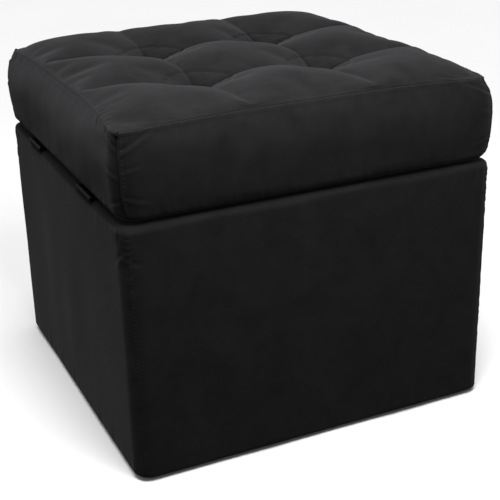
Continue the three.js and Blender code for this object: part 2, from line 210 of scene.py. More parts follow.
def round_square(edge, half, radius, cut=False):
    """Points on the edge of a unit square, moved to a square of that half side with round corners.

    With cut, the corners are straight chamfers."""
    half = np.broadcast_to(half, edge.shape[:-1])[..., None]
    radius = np.broadcast_to(radius, edge.shape[:-1])[..., None]
    points = edge * half
    core = np.clip(points, radius - half, half - radius)
    out = points - core
    length = np.linalg.norm(out, ord=1 if cut else 2, axis=-1, keepdims=True)
    in_corner = np.all(np.abs(out) > 1e-9, axis=-1, keepdims=True)
    return core + out * np.where(in_corner, radius / np.maximum(length, 1e-9), 1)


def square_grid(lines, half, radius, cut=False):
    """A flat grid over that square, as a (count, count, 2) array; its rows climb in y."""
    square = np.stack(np.meshgrid(lines, lines), axis=-1)
    level = np.max(np.abs(square), axis=-1)
    edge = square / np.maximum(level, 1e-9)[..., None]
    return round_square(edge, np.maximum(level * half, 1e-9), radius * level**10, cut)


def square_edge(lines):
    """The unit square's edge points at those grid lines, once round from the (-1, -1) corner."""
    ahead, back = lines[:-1], lines[:0:-1]
    one = np.ones(len(ahead))
    sides = [(ahead, -one), (one, ahead), (back, one), (-one, back)]
    return np.concatenate([np.stack(side, axis=-1) for side in sides])


def grid_edge(count):
    """Indices of a (count x count) grid's edge points, in square_edge's order."""
    ahead = np.arange(count - 1)
    back = ahead[::-1] + 1
    last = count - 1
    rows = [0 * ahead, ahead, 0 * ahead + last, back]
    columns = [ahead, 0 * ahead + last, back, 0 * ahead]
    return np.concatenate(rows) * count + np.concatenate(columns)


def grid_faces(rows, columns, first=0):
    corner = (np.arange(rows - 1)[:, None] * columns + np.arange(columns - 1)).ravel() + first
    return np.stack([corner, corner + 1, corner + columns + 1, corner + columns], axis=-1)


def band_faces(upper, lower):
    """Quads between two closed rings of point indices, upper seen above lower from outside."""
    return np.stack([lower, np.roll(lower, -1), np.roll(upper, -1), upper], axis=-1)


def rings_faces(count, length, first=0):
    """Quads down a stack of closed rings that have length points each."""
    rings = np.arange(count * length).reshape(count, length) + first
    return np.concatenate([band_faces(a, b) for a, b in zip(rings, rings[1:])])


def add_piece(name, points, faces, body, material):
    """A mesh object in the row frame that rides on a body."""
    mesh = bpy.data.meshes.new(name)
    mesh.from_pydata(np.reshape(points, (-1, 3)).tolist(), [], np.asarray(faces).tolist())
    mesh.update()
    mesh.shade_smooth()
    mesh.materials.append(material)
    piece = add_object(name, mesh)
    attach(piece, body)
    return piece


def slab(name, front, back, body, material):
    """A closed thin piece between two grids of points; front's rows and columns turn toward it."""
    rows, columns = front.shape[:2]
    edge = np.concatenate([
        np.arange(columns - 1),
        np.arange(rows - 1) * columns + columns - 1,
        (rows - 1) * columns + np.arange(columns - 1, 0, -1),
        np.arange(rows - 1, 0, -1) * columns,
    ])
    count = rows * columns
    faces = np.concatenate([
        grid_faces(rows, columns),
        grid_faces(rows, columns, count)[:, ::-1],
        band_faces(edge, edge + count),
    ])
    points = np.concatenate([front.reshape(-1, 3), back.reshape(-1, 3)])
    return add_piece(name, points, faces, body, material)


def mesh_points(mesh, attribute=None):
    """The mesh's vertex places, or a stored vector attribute, as an array."""
    values = np.empty(len(mesh.vertices) * 3)
    if attribute:
        mesh.attributes[attribute].data.foreach_get("vector", values)
    else:
        mesh.vertices.foreach_get("co", values)
    return values.reshape(-1, 3)


def mesh_normals(mesh):
    values = np.empty(len(mesh.vertices) * 3)
    mesh.vertex_normals.foreach_get("vector", values)
    return values.reshape(-1, 3)


def set_points(mesh, points):
    mesh.vertices.foreach_set("co", points.ravel())
    mesh.update()


def keep_pattern(mesh, pattern):
    """Stores each vertex's place in the pattern, so that sewn detail can follow it later."""
    stored = mesh.attributes.new("pattern", "FLOAT_VECTOR", "POINT")
    stored.data.foreach_set("vector", pattern.ravel())


def subdivide(piece):
    """One level of subdivision, applied."""
    piece.modifiers.new("subdivision", "SUBSURF").levels = 1
    finished = bpy.data.meshes.new_from_object(
        piece.evaluated_get(bpy.context.evaluated_depsgraph_get())
    )
    piece.modifiers.clear()
    piece.data = finished
    finished.shade_smooth()


def weight_group(piece, name, weights, steps=20):
    """A vertex group with those weights, rounded to that many steps."""
    group = piece.vertex_groups.new(name=name)
    levels = np.round(weights * steps) / steps
    for level in np.unique(levels):
        group.add(np.flatnonzero(levels == level).tolist(), float(level), "REPLACE")


CLOTH_FRAMES = 20
CLOTH_SLACK = 0.033
CLOTH_MOST = 12 * MM
CLOTH_SETTINGS = {
    "quality": 5,
    "mass": 0.3,
    "tension_stiffness": 8,
    "compression_stiffness": 8,
    "shear_stiffness": 4,
    "bending_stiffness": 5.0,
    "shrink_min": -CLOTH_SLACK,
    "use_pressure": True,
    "uniform_pressure_force": 8.0,
    "vertex_group_shrink": "tight",
    "vertex_group_mass": "pins",
}


def inflate(piece, pins, tight):
    """Blows the piece up as cloth with those pin weights, moving no point further than CLOTH_MOST.

    The cloth is cut bigger than the pattern by CLOTH_SLACK, as a share, except where tight is 1."""
    weight_group(piece, "pins", pins)
    weight_group(piece, "tight", tight)
    cloth = piece.modifiers.new("cloth", "CLOTH")
    for name, value in CLOTH_SETTINGS.items():
        setattr(cloth.settings, name, value)
    cloth.settings.effector_weights.gravity = 0
    cloth.point_cache.frame_end = CLOTH_FRAMES
    start = mesh_points(piece.data)
    scene = bpy.context.scene
    for number in range(1, CLOTH_FRAMES + 1):
        scene.frame_set(number)
    moved = mesh_points(piece.evaluated_get(bpy.context.evaluated_depsgraph_get()).data) - start
    piece.modifiers.clear()
    piece.vertex_groups.clear()
    scene.frame_set(1)
    distance = np.linalg.norm(moved, axis=1, keepdims=True)
    set_points(piece.data, start + moved * np.minimum(1, CLOTH_MOST / np.maximum(distance, 1e-9)))


# ---- Seams shared by the lid and the base ----


def corner_distance(points, half, radius):
    """How far round a rounded square's edge each point is from its nearest corner's middle.

    It is negative on the +X and -X sides and positive on the +Y and -Y sides."""
    x, y = np.abs(points[:, 0]), np.abs(points[:, 1])
    core = half - radius
    angle = np.arctan2(np.maximum(y - core, 0), np.maximum(x - core, 0))
    round_part = radius * (angle - math.pi / 4)
    on_x_side = (x > core) & (y <= core)
    on_y_side = (y > core) & (x <= core)
    beside_x = y - core - radius * math.pi / 4
    beside_y = core - x + radius * math.pi / 4
    return np.where(on_x_side, beside_x, np.where(on_y_side, beside_y, round_part))


def edge_inset(points, half, radius):
    """How far inside a rounded square's edge each point is."""
    over = np.abs(points[:, :2]) - (half - radius)
    outside = np.linalg.norm(np.maximum(over, 0), axis=1)
    return radius - outside - np.minimum(np.max(over, axis=1), 0)


def corner_seam(across, down, seed):
    """The relief of a sewn corner: the seam's groove, its folded allowance, and small puckers."""
    wander = across + 0.4 * MM * np.sin(down / (7 * MM) + seed)
    groove = -1.3 * MM * bell(wander - 0.9 * MM, 0.9 * MM)
    allowance = 1.0 * MM * bell(wander + 1.6 * MM, 1.7 * MM)
    pitch = 9 * MM * (1 + 0.25 * np.sin(down / (31 * MM) + 2 * seed))
    pucker = np.sin(2 * math.pi * (down + 0.35 * np.abs(across)) / pitch)
    strength = 0.5 + 0.5 * np.sin(down / (23 * MM) + 3 * seed)
    return groove + allowance + 0.45 * MM * pucker * strength * bell(across, 9 * MM)


def fold(across, down, start, slope, reach, depth):
    """A strain fold that leaves a corner seam at height start and climbs with that slope."""
    line = (down - start + slope * across) / math.sqrt(1 + slope**2)
    window = step_up(across, 0, 5 * MM) * (1 - step_up(across, 0.55 * reach, reach))
    return depth * window * (0.8 * bell(line - 3.2 * MM, 2.6 * MM) - bell(line, 1.7 * MM))


# ---- Lid cover ----


def lid_lines():
    """Grid lines across the lid's flat, as shares of its half side: closer at creases and edges."""
    flat = LID_HALF - LID_FLAT_INSET
    side = np.concatenate([
        np.linspace(0, TUFT_AT - 5 * MM, 15),
        TUFT_AT + np.array([-2.5, 0, 2.5]) * MM,
        np.linspace(TUFT_AT + 5 * MM, flat - 12 * MM, 26),
        np.linspace(flat - 9 * MM, flat, 4),
    ])
    return np.concatenate([-side[:0:-1], side]) / flat


def pillow_profile(distance, fullness=2.3):
    """Across one axis: 0 at the seams and creases, 1 on the middles of the three pillows."""
    distance = np.abs(distance)
    local = np.where(
        distance < TUFT_AT,
        distance / TUFT_AT,
        (distance - TUFT_AT) / (LID_HALF - TUFT_AT) * 2 - 1,
    )
    return 1 - np.abs(np.clip(local, -1, 1)) ** fullness


def tuft_distance(points):
    """How far each point is from the nearest tuft, seen from above."""
    return np.hypot(np.abs(points[:, 0]) - TUFT_AT, np.abs(points[:, 1]) - TUFT_AT)


def quilted_height(points, flatness=7):
    """The lid's top before it is blown up: a low flat dome, nine pillows and four tufts."""
    x, y = points[:, 0] / LID_HALF, points[:, 1] / LID_HALF
    dome = DOME * np.clip((1 - np.abs(x) ** flatness) * (1 - np.abs(y) ** flatness), 0, 1)
    pillows = PILLOW * pillow_profile(points[:, 0]) * pillow_profile(points[:, 1])
    tufts = TUFT_DEPTH * np.exp(-tuft_distance(points) / TUFT_SPREAD)
    edge = step_up(edge_inset(points, LID_HALF, LID_CORNER), 0, 25 * MM)
    return SEAM_Z + dome + pillows - tufts * edge


def stuffed(pattern):
    """The lid pattern's points on the stuffed lid, before the cloth is blown up.

    Its seam rises and draws in between the corners, the band is fullest halfway down, and one
    corner is filled better than the others."""
    arch = 1 - (np.min(np.abs(pattern[:, :2]), axis=1) / LID_HALF) ** 3
    middle = (SEAM_Z - LID_BOTTOM) / 2
    down = SEAM_Z - pattern[:, 2]
    inset = edge_inset(pattern, LID_HALF, LID_CORNER)
    upper = np.clip(1 - down / middle, 0, 1) ** 2
    lower = np.clip(down / middle - 1, 0, 1) ** 2
    on_top = step_up(inset, 0, 40 * MM)
    full_corner = (pattern[:, 0] < 0) & (pattern[:, 1] > 0)
    at_seam = SEAM_DRAW * arch + SEAM_CORNER_DRAW * (1 - arch) * ~full_corner
    drawn = at_seam * upper * (1 - on_top) + FOOT_DRAW * lower
    places = pattern.copy()
    places[:, :2] *= 1 - (drawn / LID_HALF)[:, None]
    over = np.maximum(np.abs(pattern[:, :2]) - (LID_HALF - LID_CORNER), 0)
    cornering = np.prod(over, axis=1) / (0.5 * LID_CORNER**2)
    pushed = SEAM_CORNER_PUSH * cornering * upper * (1 - on_top) * full_corner
    places[:, :2] += np.sign(pattern[:, :2]) * (pushed / math.sqrt(2))[:, None]
    sunk = SEAM_CORNER_SINK * bell(1 - (1 - arch) ** (1 / 3), 0.25) * ~full_corner
    places[:, 2] += (SEAM_RISE * arch - 1 * MM - sunk) * np.maximum(upper, on_top)
    return places


def lid_profile():
    """(half side, corner radius, height) of each ring, from the top's edge to the hem's end."""
    inset = np.array([3.5, 1.5, 0]) * MM
    top = [(LID_HALF - i, LID_CORNER - i, SEAM_Z) for i in inset]
    drop = np.concatenate([[1.5, 3.5, 6.5], np.linspace(10, 87, 18)]) * MM
    wall = [(LID_HALF, LID_CORNER, SEAM_Z - d) for d in drop]
    turns = np.radians([22.5, 45, 67.5, 90])
    under = LID_EDGE_ROUND * (1 - np.cos(turns))
    low = LID_BOTTOM + LID_EDGE_ROUND * (1 - np.sin(turns))
    turn = [(LID_HALF - u, LID_CORNER - u, z) for u, z in zip(under, low)]
    hem_half = LID_HALF - LID_EDGE_ROUND - np.linspace(0, LID_HEM - LID_EDGE_ROUND, 5)[1:]
    hem = [(h, LID_CORNER - LID_EDGE_ROUND, LID_BOTTOM) for h in hem_half]
    return top + wall + turn + hem


def lid_pattern():
    """(points, faces) of the lid's cover as it is cut: a grid on top and rings below it."""
    lines = lid_lines()
    count = len(lines)
    flat = LID_HALF - LID_FLAT_INSET
    top = square_grid(lines, flat, LID_CORNER - LID_FLAT_INSET).reshape(-1, 2)
    ring = square_edge(lines)
    rings = [(round_square(ring, half, r), z) for half, r, z in lid_profile()]
    top_points = np.column_stack([top, quilted_height(top)])
    ring_points = [np.column_stack([p, np.full(len(p), z)]) for p, z in rings]
    first = count * count
    faces = np.concatenate([
        grid_faces(count, count),
        band_faces(grid_edge(count), first + np.arange(len(ring))),
        rings_faces(len(rings), len(ring), first),
    ])
    return np.concatenate([top_points, *ring_points]), faces


def lid_pins(points):
    """How firmly each point is held: tufts and hem fast, creases and seam partly, pillows free."""
    x, y, z = np.abs(points.T)
    inset = edge_inset(points, LID_HALF, LID_CORNER)
    to_crease = np.minimum(np.abs(x - TUFT_AT), np.abs(y - TUFT_AT))
    to_tuft = tuft_distance(points)
    outward = step_up(np.maximum(x, y), TUFT_AT + 25 * MM, LID_HALF - 30 * MM)
    firm = (0.45 + 0.5 * bell(to_tuft, 30 * MM)) * (1 - 0.85 * outward)
    crease = bell(to_crease, 3 * MM) * firm
    seam = bell(z - SEAM_Z, 2 * MM) * (inset < 2 * MM)
    top = np.maximum(crease, bell(to_tuft, 6 * MM))
    low_band = step_up(SEAM_Z - z, 60 * MM, 85 * MM)
    is_top = z > SEAM_Z - 1 * MM
    pins = np.where(is_top, top, np.maximum(low_band, 0.35))
    return np.clip(np.maximum(pins, seam), 0, 1)


def lid_tightness(points):
    """1 on the band and 0 on the pillows, where the cloth is cut loose so that they fill out."""
    inset = edge_inset(points, LID_HALF, LID_CORNER)
    return np.where(points[:, 2] < SEAM_Z - 1 * MM, 1, 1 - step_up(inset, 3 * MM, 30 * MM))


def crease_relief(pattern):
    """Grooves along the creases, deepest at the tufts' pits and fading toward the edges."""
    to_tuft = tuft_distance(pattern)
    reach = np.max(np.abs(pattern[:, :2]), axis=1)
    fade = 1 - 0.85 * step_up(reach, TUFT_AT + 10 * MM, LID_HALF - 50 * MM)
    depth = (1.6 * MM + 7.5 * MM * bell(to_tuft, 30 * MM)) * fade
    width = 2.0 * MM + 1.6 * MM * bell(to_tuft, 24 * MM)
    wobble = 1.3 * MM * ripples(pattern[:, :2], 90 * MM, 5) * (1 - bell(to_tuft, 18 * MM))
    grooves = [
        np.exp(-np.abs(np.abs(pattern[:, axis]) - TUFT_AT + wobble) / width) for axis in (0, 1)
    ]
    return -depth * np.maximum(*grooves) - 9 * MM * bell(to_tuft, 9 * MM)


# Folds in the lid's band beside each corner seam: side (-1 on the X faces, 1 on the Y faces), then
# start below the top seam, slope, reach and depth, in millimetres.
STRAIN_FOLDS = [
    (-1, 21, 0.58, 36, 1.3),
    (-1, 40, 0.25, 26, 0.7),
    (-1, 66, -0.3, 34, 0.8),
    (1, 17, 0.5, 30, 1.1),
    (1, 46, 0.3, 28, 0.8),
    (1, 72, -0.35, 30, 0.8),
]


def lid_relief(pattern):
    """How far the sewn detail stands out from the blown-up cover, along its normal."""
    inset = edge_inset(pattern, LID_HALF, LID_CORNER)
    below = SEAM_Z - pattern[:, 2]
    is_top = below < 0.5 * MM
    from_seam = np.where(is_top & (inset > 0.2 * MM), -inset, below)
    across = corner_distance(pattern, LID_HALF, LID_CORNER)
    on_band = (inset < 0.5 * MM) & ~(is_top & (inset > 0.2 * MM))
    low = 1 - step_up(below, 80 * MM, 92 * MM)

    seam = -1.3 * MM * bell(from_seam, 1.0 * MM) - 1.0 * MM * bell(from_seam, 8 * MM)
    seam += 0.5 * MM * bell(from_seam - 3.0 * MM, 2.2 * MM)
    seam += 0.4 * MM * bell(from_seam + 3.2 * MM, 2.2 * MM)
    near_corner = bell(np.abs(across) - 40 * MM, 28 * MM)
    gathers = ripples(pattern[:, :2], 9 * MM, 11) * (0.1 * MM + 0.35 * MM * near_corner)
    seam += gathers * (bell(from_seam - 6 * MM, 6 * MM) + 0.8 * bell(from_seam + 7 * MM, 6 * MM))

    vertical = corner_seam(across, below, 1.0) * on_band * low
    billow = 1.0 * MM * ripples(pattern, 130 * MM, 3) + 0.3 * MM * ripples(pattern, 45 * MM, 4)
    billow = billow * on_band * low * step_up(below, 4 * MM, 25 * MM)
    fullness = step_up(below, -12 * MM, 40 * MM) * (1 - step_up(below, 42 * MM, 100 * MM))
    billow += 1.0 * MM * fullness * on_band
    strain = np.zeros(len(pattern))
    for side, start, slope, reach, depth in STRAIN_FOLDS:
        here = side * across
        strain += fold(here, below, start * MM, slope, reach * MM, depth * MM) * (here > 0)
    strain = strain * on_band * low
    hem = 0.3 * MM * ripples(pattern, 12 * MM, 8) * bell(below - 88 * MM, 7 * MM)
    return seam + vertical + billow + strain + hem


def calm_top(points, rounds=8):
    """The cover's points with the small wrinkles on its top smoothed away."""
    count = len(lid_lines())
    top = points[: count * count].reshape(count, count, 3).copy()
    for _ in range(rounds):
        inner = top[1:-1, 1:-1, 2]
        around = top[:-2, 1:-1, 2] + top[2:, 1:-1, 2] + top[1:-1, :-2, 2] + top[1:-1, 2:, 2]
        top[1:-1, 1:-1, 2] = 0.5 * inner + 0.125 * around
    return np.concatenate([top.reshape(-1, 3), points[count * count:]])


def sew_lid(mesh, pattern):
    """Moves the cover's points to the shape that its seams, creases and folds give it."""
    places = mesh_points(mesh)
    inset = edge_inset(pattern, LID_HALF, LID_CORNER)
    on_top = step_up(inset, 1 * MM, 8 * MM) * (pattern[:, 2] > TUFT_FLOOR)
    places += mesh_normals(mesh) * lid_relief(pattern)[:, None]
    places[:, 2] += crease_relief(pattern) * on_top
    places[:, 2] = np.maximum(places[:, 2], np.where(on_top > 0, TUFT_FLOOR, LID_BOTTOM))
    set_points(mesh, places)


def paint_crease_shade(mesh, pattern):
    """Stores how much painted shade each point gets in a tuft's pit and along the creases near it;
    the suede's colour and sheen darken by it.
    """
    to_tuft = tuft_distance(pattern)
    to_crease = np.min(np.abs(np.abs(pattern[:, :2]) - TUFT_AT), axis=1)
    stroke = 0.9 * bell(to_crease, 2.6 * MM) * bell(to_tuft, 27 * MM)
    shaded = mesh.attributes.new("crease", "FLOAT", "POINT")
    shaded.data.foreach_set("value", np.maximum(bell(to_tuft, 11 * MM), stroke))


def make_lid_cover(material):
    """The lid's cover, and its blown-up shape at the pattern's own points."""
    pattern, faces = lid_pattern()
    cover = add_piece("lid_cover", stuffed(pattern), faces, "lid", material)
    keep_pattern(cover.data, pattern)
    inflate(cover, lid_pins(pattern), lid_tightness(pattern))
    set_points(cover.data, calm_top(mesh_points(cover.data)))
    blown_up = mesh_points(cover.data)
    blown_up[:, 2] += crease_relief(pattern)
    subdivide(cover)
    pattern = mesh_points(cover.data, "pattern")
    sew_lid(cover.data, pattern)
    paint_crease_shade(cover.data, pattern)
    cover.data.attributes.remove(cover.data.attributes["pattern"])
    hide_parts("lid_top_panel", "lid_band")
    return cover, blown_up


# ---- Base cover ----


def side_lines(half, radius, flat_cells, bend_cells):
    """Edge positions along a side from -1 to 1: even on the flat and closer in the corners."""
    bend = np.tan(np.linspace(0, math.pi / 4, bend_cells + 1)) * radius
    edge = half - radius + bend
    return np.concatenate([-edge[::-1], np.linspace(radius - half, half - radius, flat_cells)[1:-1],
                           edge]) / half


def base_profile():
    """(half side, corner radius, height) of each ring, from the rim's hem to the one below."""
    inner = WALL_INNER - 1.2 * MM
    small = 3 * MM
    rows = [(inner, small, z) for z in np.linspace(RIM_Z - RIM_HEM, RIM_Z - 4 * MM, 8)]
    for turn in np.radians([30, 60, 90]):
        half = inner + small * (1 - math.cos(turn))
        rows.append((half, small, RIM_Z - small * (1 - math.sin(turn))))
    rim_edge = BASE_HALF - RIM_ROUND
    rows += [(half, 6 * MM, RIM_Z) for half in np.linspace(inner + 5 * MM, rim_edge - 2 * MM, 3)]
    for turn in np.radians(np.linspace(0, 90, 7)):
        out = RIM_ROUND * (math.sin(turn) - 1)
        rows.append((BASE_HALF + out, BASE_CORNER + out, RIM_Z - RIM_ROUND * (1 - math.cos(turn))))
    first, last = RIM_Z - RIM_ROUND, BASE_BOTTOM + FOOT_ROUND
    fine = np.linspace(first - 2.2 * MM, first - 33 * MM, 15)
    coarse = np.linspace(fine[-1], last + 24 * MM, 49)[1:]
    low = np.linspace(coarse[-1], last, 9)[1:]
    for z in np.concatenate([fine, coarse, low]):
        rows.append((BASE_HALF, BASE_CORNER, z))
    for turn in np.radians([30, 60, 90]):
        back = FOOT_ROUND * (1 - math.cos(turn))
        rows.append((BASE_HALF - back, BASE_CORNER - back, last - FOOT_ROUND * math.sin(turn)))
    hem = np.linspace(0, BASE_HEM - FOOT_ROUND, 7)[1:]
    rows += [(BASE_HALF - FOOT_ROUND - h, BASE_CORNER - FOOT_ROUND, BASE_BOTTOM) for h in hem]
    return rows


def base_relief(start):
    """How far the cloth's waves, seams and puckers stand out from the plain shape."""
    inset = edge_inset(start, BASE_HALF, BASE_CORNER)
    below = RIM_Z - start[:, 2]
    outer = 1 - step_up(inset, 1 * MM, 5 * MM)
    rim = step_up(below, 1 * MM, 7 * MM)
    foot = 1 - step_up(below, RIM_Z - BASE_BOTTOM - 6 * MM, RIM_Z - BASE_BOTTOM)
    across = corner_distance(start, BASE_HALF, BASE_CORNER)
    seam = corner_seam(across, below, 2.0)
    flat = start * np.array([1, 1, 0.45])
    waves = 0.7 * MM * ripples(flat, 150 * MM, 21) + 0.25 * MM * ripples(flat, 60 * MM, 22)
    gathered = ripples(start[:, :2], 7 * MM, 23)
    close = bell(np.abs(across) - 22 * MM, 26 * MM)
    rim_puckers = gathered * (0.15 * MM + 0.75 * MM * close) * bell(below - 11 * MM, 7 * MM)
    foot_puckers = 0.3 * MM * ripples(start[:, :2], 14 * MM, 24)
    foot_puckers = foot_puckers * bell(start[:, 2] - 14 * MM, 12 * MM)
    pull = fold(across, below, 24 * MM, -0.9, 26 * MM, 0.9 * MM) * (across > 0)
    pull += fold(-across, below, 34 * MM, -0.4, 30 * MM, 0.7 * MM) * (across < 0)
    return (seam + waves + rim_puckers + foot_puckers + pull) * outer * rim * foot


def make_base_cover(material):
    lines = side_lines(BASE_HALF, BASE_CORNER, 104, 6)
    edge = square_edge(lines)
    rings = [
        np.column_stack([round_square(edge, half, radius), np.full(len(edge), z)])
        for half, radius, z in base_profile()
    ]
    faces = rings_faces(len(rings), len(edge))
    cover = add_piece("base_suede_cover", np.concatenate(rings), faces, "base", material)
    start = mesh_points(cover.data)
    places = start + mesh_normals(cover.data) * base_relief(start)[:, None]
    set_points(cover.data, places)
    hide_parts("base_cover")
    return cover


# ---- Padding ----


def make_lid_foam(cover_shape, material):
    """The foam follows the inside of the cover, with a pocket below for the lid's board.

    cover_shape is the blown-up cover's shape at the pattern's own points."""
    lines = lid_lines()
    count, length = len(lines), 4 * (len(lines) - 1)
    rings_kept = sum(1 for _, _, z in lid_profile() if z > LID_BOTTOM)
    kept = count * count + rings_kept * length
    shell = cover_shape[:kept].copy()
    shell[:, :2] *= 1 - PADDING_GAP / LID_HALF
    low = step_up(SEAM_Z - shell[:, 2], 20 * MM, 80 * MM)
    shell[:, 2] += PADDING_GAP * (1.6 * low - 1)
    pocket_half = LID_BOARD_HIGH.x + 0.6 * MM
    pocket_top = LID_BOARD_HIGH.z + 0.4 * MM
    edge = square_edge(lines)
    walls = [
        np.column_stack([round_square(edge, pocket_half, 11 * MM), np.full(length, z)])
        for z in (LID_BOTTOM + PADDING_GAP, pocket_top)
    ]
    ceiling = square_grid(lines, pocket_half - 3 * MM, 9 * MM).reshape(-1, 2)
    ceiling = np.column_stack([ceiling, np.full(len(ceiling), pocket_top)])
    first = count * count
    last_ring = kept + length + np.arange(length)
    faces = np.concatenate([
        grid_faces(count, count),
        band_faces(grid_edge(count), first + np.arange(length)),
        rings_faces(rings_kept + 2, length, first),
        band_faces(last_ring, kept + 2 * length + grid_edge(count)),
        grid_faces(count, count, kept + 2 * length)[:, ::-1],
    ])
    foam = add_piece(
        "lid_foam_pad", np.concatenate([shell, *walls, ceiling]), faces, "lid", material
    )
    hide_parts("lid_foam")


def make_wadding(side, turn, material):
    """One wall's sheet of fibre wadding, thinner toward its edges; turn is in quarter turns."""
    low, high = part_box("right_wadding")
    across = np.linspace(low.y, high.y, 90)
    up = np.linspace(low.z, high.z, 60)
    y, z = np.meshgrid(across, up)
    to_edge = np.minimum(high.y - np.abs(y), np.minimum(z - low.z, high.z - z))
    loft = 2 * MM + (high.x - low.x - 3.4 * MM) * step_up(to_edge, 0, 9 * MM)
    back = np.stack([np.full_like(y, low.x), y, z], axis=-1)
    loft += 0.25 * MM * ripples(back.reshape(-1, 3), 14 * MM, 31).reshape(y.shape) * (to_edge > 0)
    front = back + np.stack([loft, 0 * loft, 0 * loft], axis=-1)
    spin = quarter_turn(turn)
    sheet = slab(f"{side}_wadding_sheet", front @ spin.T, back @ spin.T, "base", material)
    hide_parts(f"{side}_wadding")


# ---- Linings and dust cover ----


def make_side_lining(material):
    """The compartment's wall lining: one sheet, folded at the top, that cuts across the corners."""
    low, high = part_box("side_lining")
    outer, chamfer = high.x, CUT_CORNER
    inner = outer - 0.8 * MM
    edge = square_edge(side_lines(outer, chamfer, 70, 8))
    levels = np.concatenate([
        np.linspace(low.z + 0.2 * MM, high.z - 8 * MM, 32),
        np.linspace(high.z - 6 * MM, high.z - 0.8 * MM, 4),
    ])
    profile = [(inner, z) for z in levels]
    profile += [(inner + 0.25 * MM, high.z), (outer - 0.25 * MM, high.z)]
    profile += [(outer, z) for z in levels[::-1]]
    rings = []
    for half, z in profile:
        ring = round_square(edge, half, chamfer, cut=True)
        place = np.column_stack([ring, np.full(len(ring), z)])
        slack = np.sin(math.pi * (z - low.z) / (high.z - low.z)) ** 0.5 if z < high.z else 0
        soft = np.maximum(ripples(place * np.array([1, 1, 0.3]), 70 * MM, 41), 0)
        rings.append(place * (1 - np.array([1, 1, 0]) * (1.6 * MM * slack * soft / outer)[:, None]))
    length = len(edge)
    faces = np.concatenate([
        rings_faces(len(rings), length),
        band_faces((len(rings) - 1) * length + np.arange(length), np.arange(length)),
    ])
    lining = add_piece("side_lining_cloth", np.concatenate(rings), faces, "base", material)
    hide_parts("side_lining")


def make_floor_lining(material):
    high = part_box("floor_lining")[1]
    lines = np.linspace(-1, 1, 81)
    flat = square_grid(lines, high.x, CUT_CORNER - 0.5 * MM, cut=True)
    top = np.dstack([flat, np.full(flat.shape[:2], high.z)])
    wave = ripples(top.reshape(-1, 3), 55 * MM, 42).reshape(flat.shape[:2])
    top[..., 2] -= 0.12 * MM * (1 + wave)
    bottom = top - np.array([0, 0, 0.5 * MM])
    lining = slab("floor_lining_cloth", top, bottom, "base", material)
    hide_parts("floor_lining")


def stapled_sheet(name, node, body, seed, material):
    """A square sheet stapled flat underneath, whose edge draws in a little between its staples.

    The result is its half side and its underside's height."""
    low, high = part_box(node)
    half = high.x
    inner = np.linspace(-0.985, 0.985, 119)
    lines = np.concatenate([[-1, -1 + 1.5 * MM], inner, [1 - 1.5 * MM, 1]])
    flat = square_grid(lines, half, 4 * MM)
    along = flat[..., ::-1]
    near_edge = step_up(np.abs(flat), half - 14 * MM, half)
    drawn = 0.9 * MM * np.sin(math.pi * along / STAPLE_PITCH) ** 2
    flat = flat - np.sign(flat) * drawn * near_edge
    middle = (low.z + high.z) / 2
    sheet = np.dstack([flat, np.full(flat.shape[:2], middle)])
    waves = ripples(sheet.reshape(-1, 3), 48 * MM, seed).reshape(flat.shape[:2])
    inside = 1 - np.max(step_up(np.abs(flat), half - 30 * MM, half), axis=-1)
    sheet[..., 2] -= 0.15 * MM * (1 + waves) * inside
    thick = np.array([0, 0, 0.22 * MM])
    cloth = slab(name, sheet + thick, sheet - thick, body, material)
    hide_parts(node)
    return half, low.z


# ---- Staples, thread and knots: one small shape, stamped along a line ----


def wire(path, radius, squash=1.0, sides=6):
    """(points, faces) of a closed wire along a path in the XZ plane; squash widens it in Y."""
    path = np.asarray(path, float)
    tangents = np.gradient(path, axis=0)
    tangents /= np.linalg.norm(tangents, axis=1, keepdims=True)
    side = np.array([0, 1, 0])
    up = np.cross(tangents, side)
    turns = np.arange(sides) * 2 * math.pi / sides
    rings = [
        p + radius * (np.cos(turns)[:, None] * side * squash + np.sin(turns)[:, None] * u)
        for p, u in zip(path, up)
    ]
    ends = np.array([[0, 1, 2, 3], [0, 3, 4, 5]])
    last = (len(path) - 1) * sides
    faces = np.concatenate([rings_faces(len(path), sides), ends, (ends + last)[:, ::-1]])
    return np.concatenate(rings), faces


def stamp(name, shape, frames, body, material):
    """Copies of a small shape, joined as one piece; each frame is (place, x axis, z axis)."""
    points, faces = shape
    place, x_axis, z_axis = (np.array(part, float) for part in zip(*frames))
    y_axis = np.cross(z_axis, x_axis)
    placed = (
        place[:, None]
        + points[:, 0, None] * x_axis[:, None]
        + points[:, 1, None] * y_axis[:, None]
        + points[:, 2, None] * z_axis[:, None]
    )
    shifts = np.arange(len(frames))[:, None, None] * len(points)
    piece = add_piece(name, placed, (faces[None] + shifts).reshape(-1, 4), body, material)


def staple_shape():
    """A wire staple: its crown on the cloth, its legs going in."""
    crown, leg, corner = 5 * MM, 2 * MM, 0.6 * MM
    path = [(-crown, 0, -leg), (-crown, 0, 0), (-crown + corner, 0, corner),
            (crown - corner, 0, corner), (crown, 0, 0), (crown, 0, -leg)]
    return wire(path, 0.35 * MM, squash=1.5)


def make_underside_staples(name, half, z, body, material):
    """Staples round a square sheet's edge, seen from below."""
    chance = np.random.default_rng(51)
    reach = math.floor((half - 12 * MM) / STAPLE_PITCH)
    frames = []
    for turn in range(4):
        spin = quarter_turn(turn)
        for number in range(-reach, reach + 1):
            slip = chance.normal(0, 1, 3) * np.array([1.2, 0.8, 0.09])
            along = number * STAPLE_PITCH + slip[0] * MM
            place = spin @ (along, STAPLE_INSET - half + slip[1] * MM, 0)
            axis = spin @ (math.cos(slip[2]), math.sin(slip[2]), 0)
            frames.append((place + (0, 0, z), axis, (0, 0, -1)))
    stamp(name, staple_shape(), frames, body, material)


